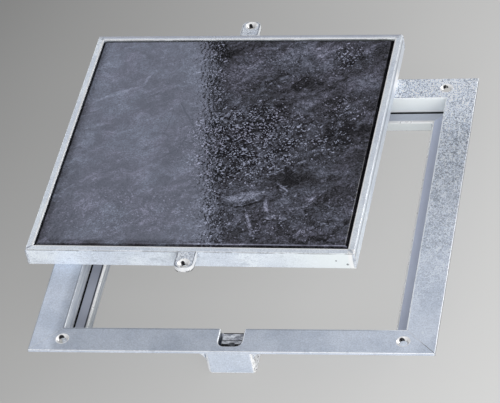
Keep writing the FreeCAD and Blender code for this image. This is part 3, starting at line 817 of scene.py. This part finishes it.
def fillet(start, end, down, aside, drop, width, draw):
    """Rings of a broad hollow fillet weld along an inner corner: width aside at the top, drop high."""
    along = (end - start).normalized()
    length = (end - start).length
    count = max(LEAST_RINGS, round(length / FILLET_STEP))
    shift = chance_shift(draw)
    rings = []
    for step in range(count + 1):
        share = step / count
        at = start + along * (length * share)
        swell = 1 + 0.10 * noise.noise(shift + at / (5 * MM))
        ring = [at - aside * FILLET_BURIED - down * FILLET_BURIED]
        ring.append(at + aside * (width * swell) - down * FILLET_BURIED)
        for corner in range(FILLET_POINTS):
            angle = math.pi / 2 * corner / (FILLET_POINTS - 1)
            rough = 1 + 0.05 * noise.noise(shift + Vector((corner * 0.9, 0, step * 0.35)))
            across = width * swell * (1 - math.sin(angle) * rough)
            ring.append(at + aside * max(across, 0.0) + down * (drop * swell * (1 - math.cos(angle))))
        ring.append(at - aside * FILLET_BURIED + down * (drop * swell))
        rings.append(ring)
    return rings


def blob(at, radii, draw):
    """Rings of a small irregular lump."""
    shift = chance_shift(draw)
    rings = []
    for row in range(1, BLOB_ROWS + 1):
        tilt = math.pi * row / (BLOB_ROWS + 1)
        ring = []
        for corner in range(BLOB_POINTS):
            turn = 2 * math.pi * corner / BLOB_POINTS
            across, ahead = math.sin(tilt) * math.cos(turn), math.sin(tilt) * math.sin(turn)
            ray = Vector((across, ahead, math.cos(tilt)))
            rough = 1 + 0.30 * noise.noise(shift + ray * 1.6)
            ring.append(at + Vector(a * b for a, b in zip(ray, radii)) * rough)
        rings.append(ring)
    return rings


def weld(name, runs, placing):
    """One piece of weld metal made of several runs, each a list of rings, then put in place."""
    shape = bmesh.new()
    for rings in runs:
        rows = [[shape.verts.new(placing @ point) for point in ring] for ring in rings]
        count = len(rows[0])
        for near_row, far_row in zip(rows, rows[1:]):
            for index in range(count):
                following = (index + 1) % count
                shape.faces.new((near_row[index], near_row[following],
                                 far_row[following], far_row[index]))
        shape.faces.new(rows[0][::-1])
        shape.faces.new(rows[-1])
    bmesh.ops.recalc_face_normals(shape, faces=shape.faces)
    for face in shape.faces:
        face.smooth = len(face.verts) == 4
    mesh = bpy.data.meshes.new(name)
    shape.to_mesh(mesh)
    shape.free()
    piece = bpy.data.objects.new(name, mesh)
    bpy.context.scene.collection.objects.link(piece)
    mesh.materials.append(WELD_ZINC)
    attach(piece, "root")
    return piece


def quarter(turns):
    """A turn by so many quarters of a circle, seen from above to the left."""
    return Matrix.Rotation(math.radians(90 * turns), 4, "Z")


def corner_point(half, z):
    """A point of the front right corner, on the mitre."""
    return Vector((half, -half, z))


def frame_corner(index):
    """Weld down the mitre of the flange's edge and down the wall's outer corner."""
    draw = random.Random(100 + index)
    wall = RECESS_HALF + WALL
    bottom = SEAL_BOX[0].z - FLANGE
    edge = bead(corner_point(FRAME_HALF - 0.9 * MM, FLANGE_TOP - 0.4 * MM),
                corner_point(FRAME_HALF - 0.9 * MM, 0.2 * MM), OUTWARDS, 1.2 * MM, draw)
    outer = bead(corner_point(wall, -0.5 * MM), corner_point(wall, bottom + 0.5 * MM),
                 OUTWARDS, 2.0 * MM, draw)
    weld(f"weld_frame_{CORNERS[index]}", [edge, outer], quarter(index))


def seat_corner(index):
    """Weld in the seat angle's inner corner, and a few lumps beside it on the vertical leg."""
    draw = random.Random(200 + index)
    top, bottom = SEAT_BOX[1].z, SEAT_BOX[0].z
    runs = [bead(corner_point(SEAT_INNER, top - 2.5 * MM), corner_point(SEAT_INNER, bottom + 0.8 * MM),
                 -OUTWARDS, 1.6 * MM, draw)]
    for _ in range(SEAT_LUMPS):
        reach = SEAT_INNER - draw.uniform(3, 26) * MM
        height = draw.uniform(bottom + 1.2 * MM, bottom + 6 * MM)
        radii = [draw.uniform(0.8, 2.2) * MM, 0.5 * MM, draw.uniform(0.5, 1.0) * MM]
        runs.append(blob(Vector((reach, -SEAT_INNER, height)), radii, draw))
    weld(f"weld_seat_{CORNERS[index]}", runs, quarter(index))


def pocket_welds(side, turns):
    """Broad fillets between the flange and the pocket's sides, and a bead down the wall on each side."""
    draw = random.Random(300 + turns)
    low, high = POCKET_BOX
    runs = []
    for x, aside in ((low.x, LEFT), (high.x, RIGHT)):
        front, back = Vector((x, low.y + 0.6 * MM, 0)), Vector((x, high.y, 0))
        runs.append(fillet(front, back, DOWN, aside, 8 * MM, 8.5 * MM, draw))
        foot = Vector((x, high.y, low.z + 3 * MM))
        runs.append(bead(back + DOWN * 7 * MM, foot, (aside + FRONT).normalized(), 1.6 * MM, draw))
    weld(f"weld_pocket_{side}", runs, quarter(turns))


def lug_welds(side, turns):
    """Beads at both sides of a lug's root and under it."""
    draw = random.Random(400 + turns)
    root = -LID_HALF
    runs = []
    for sign in (-1, 1):
        x = sign * LUG_HALF_WIDTH
        out = Vector((sign, -1, 0)).normalized()
        high, low = Vector((x, root, LID_HEIGHT - 0.6 * MM)), Vector((x, root, LUG_UNDER - 1.8 * MM))
        runs.append(bead(high, low, out, 1.6 * MM, draw))
    ends = [Vector((sign * (LUG_HALF_WIDTH - 0.5 * MM), root, LUG_UNDER)) for sign in (-1, 1)]
    runs.append(bead(*ends, (FRONT + DOWN).normalized(), 1.4 * MM, draw))
    weld(f"weld_lug_{side}", runs, LID_PLACE @ quarter(turns))


def lid_corner(index):
    """Mitre seam over the rim and down the lid's corner."""
    draw = random.Random(500 + index)
    inside, outside = LID_HALF - RIM + 0.8 * MM, LID_HALF - 0.8 * MM
    seam = bead(corner_point(inside, LID_HEIGHT), corner_point(outside, LID_HEIGHT),
                UP, 1.3 * MM, draw, proud=0.2)
    edge = bead(corner_point(outside, LID_HEIGHT - 0.6 * MM), corner_point(outside, 0.8 * MM),
                OUTWARDS, 1.5 * MM, draw)
    weld(f"weld_lid_{CORNERS[index]}", [seam, edge], LID_PLACE @ quarter(index))


def add_floor():
    """A pale floor, lighter to the front and right, which keeps a faint shadow of the cover."""
    mesh = bpy.data.meshes.new("floor")
    corners = [(x * FLOOR_REACH, y * FLOOR_REACH, FLOOR_Z) for x, y in ((-1, -1), (1, -1), (1, 1), (-1, 1))]
    mesh.from_pydata(corners, [], [(0, 1, 2, 3)])
    floor = bpy.data.objects.new("floor", mesh)
    bpy.context.scene.collection.objects.link(floor)
    material, g = new_material("pale_floor")
    slope = g.vector("DOT_PRODUCT", g.place(), FLOOR_SLOPE)
    level = g.math("MINIMUM", g.most(g.plus(slope, FLOOR_LEVEL), FLOOR_DARKEST), FLOOR_LIGHTEST)
    tone = g.scaled(FLOOR_TINT, level)
    rays = g.add("ShaderNodeLightPath").outputs
    share = g.times(g.most(rays["Is Camera Ray"], rays["Is Glossy Ray"]), FLOOR_GLOW)
    paper = g.add("ShaderNodeBsdfDiffuse", {"Color": tone})
    glow = g.add("ShaderNodeEmission", {"Color": tone, "Strength": 1.0})
    g.output("ShaderNodeOutputMaterial", g.blend(share, paper, glow))
    mesh.materials.append(material)


def add_world():
    """Soft bluish light from all round, and a plain grey behind everything."""
    world = bpy.data.worlds.new("studio")
    bpy.context.scene.world = world
    world.use_nodes = True
    g = Graph(world.node_tree)
    light = g.add("ShaderNodeBackground", {"Color": WORLD_TINT, "Strength": WORLD_LIGHT})
    behind = g.add("ShaderNodeBackground", {"Color": BACKDROP_GREY, "Strength": 1.0})
    seen = g.add("ShaderNodeLightPath").outputs["Is Camera Ray"]
    g.output("ShaderNodeOutputWorld", g.blend(seen, light, behind))


def add_softbox(name, place, width, height, power, mirrored):
    """A white lamp that faces the part's origin. One that isn't mirrored leaves no reflections."""
    data = bpy.data.lights.new(name, "AREA")
    data.shape = "RECTANGLE"
    data.size, data.size_y = width, height
    data.energy = power
    box = bpy.data.objects.new(name, data)
    bpy.context.scene.collection.objects.link(box)
    box.visible_glossy = mirrored
    box.location = place
    box.rotation_euler = (-Vector(place)).to_track_quat("-Z", "Y").to_euler()


def add_card(name, left, right, colour, strength, fade=0.0):
    """A card that only reflections see, so that the polished slab mirrors it between two lines.

    left and right are distances from the split line, positive to the right of it. The card lies where the
    camera, mirrored in the slab, looks through the stretch of the slab between them. It gets darker over
    the share fade at its left.
    """
    mirrored = Vector((CAMERA_PLACE.x, CAMERA_PLACE.y, 2 * SLAB_BOX[1].z - CAMERA_PLACE.z))
    corners = []
    for off, y in ((right, CARD_FRONT_Y), (left, CARD_FRONT_Y), (left, CARD_BACK_Y), (right, CARD_BACK_Y)):
        share = (y - SPLIT_FRONT.y) / (SPLIT_BACK.y - SPLIT_FRONT.y)
        x = SPLIT_FRONT.x + share * (SPLIT_BACK.x - SPLIT_FRONT.x) + off
        on_slab = Vector((x, y, SLAB_BOX[1].z))
        corners.append(mirrored + (on_slab - mirrored) * CARD_REACH)
    mesh = bpy.data.meshes.new(name)
    mesh.from_pydata(corners, [], [(0, 1, 2, 3)])
    across = mesh.uv_layers.new(name="across")
    for loop, share in zip(across.data, (1, 0, 0, 1)):
        loop.uv = (share, 0.5)
    card = bpy.data.objects.new(name, mesh)
    bpy.context.scene.collection.objects.link(card)
    card.visible_camera = False
    card.visible_diffuse = False
    card.visible_shadow = False
    card.visible_transmission = False
    material, g = new_material(f"{name}_light")
    share = g.parts(g.add("ShaderNodeTexCoord").outputs["UV"])["X"]
    level = g.step(share, -0.01, fade, 0.45, 1.0) if fade else 1.0
    glow = g.add("ShaderNodeEmission", {"Color": colour, "Strength": g.times(level, strength)})
    g.output("ShaderNodeOutputMaterial", glow)
    mesh.materials.append(material)


def add_camera():
    """The photograph's camera."""
    data = bpy.data.cameras.new("camera")
    data.lens = CAMERA_LENS
    camera = bpy.data.objects.new("camera", data)
    bpy.context.scene.collection.objects.link(camera)
    turn = Matrix.Identity(3)
    for angle, axis in ((CAMERA_YAW, "Z"), (CAMERA_PITCH, "X"), (CAMERA_ROLL, "Y"), (90, "X")):
        turn = turn @ Matrix.Rotation(math.radians(angle), 3, axis)
    camera.matrix_world = Matrix.Translation(CAMERA_PLACE) @ turn.to_4x4()
    bpy.context.scene.camera = camera


# The floor: how light it is at the origin, how that changes over a metre, and how much it glows.
FLOOR_REACH = 6.0
FLOOR_TINT = (1.0, 1.0, 0.99)
FLOOR_LEVEL = 0.522
FLOOR_SLOPE = (0.535, -0.180, 0.0)
FLOOR_DARKEST, FLOOR_LIGHTEST = 0.24, 0.86
FLOOR_GLOW = 0.80
WORLD_TINT = (0.98, 0.99, 1.02, 1)
WORLD_LIGHT = 0.38
BACKDROP_GREY = (0.52, 0.52, 0.515, 1)
# Lamps: name, place, width, height, power, and whether surfaces mirror them.
SOFTBOXES = (
    ("front_softbox", (1.2, -2.9, 0.95), 4.6, 1.75, 34, True),
    ("front_fill", (1.2, -2.9, 0.95), 4.6, 1.75, 100, False),
    ("right_softbox", (2.6, 1.5, 0.9), 1.8, 1.0, 34, True),
    ("left_softbox", (-2.0, 2.2, 1.1), 1.4, 0.7, 10, True),
)
# The cards that the slab mirrors, and the line on the slab between the two.
CARD_REACH = 2.2
CARD_FRONT_Y = -0.16
CARD_BACK_Y = 0.32
SPLIT_FRONT = Vector((-38, -74, 0)) * MM
SPLIT_BACK = Vector((-96, 246, 0)) * MM

WELD_ZINC = weld_metal()
dress([f"{ring}_{side}" for ring in ("frame_bar", "seat_bar") for side in SIDES]
      + ["lock_pocket_front", "lock_pocket_back"],
      galvanised("frame_zinc", (0.54, 0.60, 0.70), (0.66, 0.72, 0.82),
                 frame_wrinkles, frame_sinks, frame_touches))
dress(["lock_bridge_front", "lock_bridge_back"], bridge_zinc())
dress([f"lid_bar_{side}" for side in SIDES] + ["lid_tray"],
      galvanised("lid_zinc", (0.73, 0.79, 0.88), (0.86, 0.92, 0.99),
                 lid_wrinkles, lug_sinks, lid_touches))
dress(["lid_lug_front", "lid_lug_back"],
      galvanised("lug_zinc", (0.58, 0.63, 0.71), (0.76, 0.81, 0.88),
                 lug_wrinkles, lug_sinks, lug_touches))
dress(["lock_nut_front", "lock_nut_back"],
      plain("nut_zinc", (0.55, 0.56, 0.58), (0.68, 0.69, 0.70), 2 * MM, 0.05 * MM, Metallic=0.9,
            Roughness=0.32))
dress(["stone_slab"], polished_stone())
dress(["slab_sealant"],
      plain("dark_sealant", (0.003, 0.003, 0.005), (0.008, 0.008, 0.011), 3 * MM, 0.2 * MM, Roughness=0.6,
            Specular_IOR_Level=0.1))
dress(["recess_seal"],
      plain("black_rubber", (0.004, 0.004, 0.005), (0.010, 0.010, 0.012), 1.5 * MM, 0.08 * MM, Roughness=0.7,
            Specular_IOR_Level=0.1))
dress(["mortar_bed"],
      plain("cement", (0.30, 0.29, 0.27), (0.48, 0.47, 0.44), 2.5 * MM, 0.4 * MM, Roughness=0.9))

for corner in range(4):
    frame_corner(corner)
    seat_corner(corner)
    lid_corner(corner)
for side, turns in (("front", 0), ("back", 2)):
    pocket_welds(side, turns)
    lug_welds(side, turns)

add_floor()
add_world()
add_card("bright_card", -0.20, 0.0, (0.70, 0.77, 1.0, 1), 2.1, fade=0.35)
add_card("dark_card", 0.0, 0.26, (0.9, 0.95, 1.0, 1), 0.06)
for softbox in SOFTBOXES:
    add_softbox(*softbox)
add_camera()
bpy.context.scene.view_settings.view_transform = "Standard"
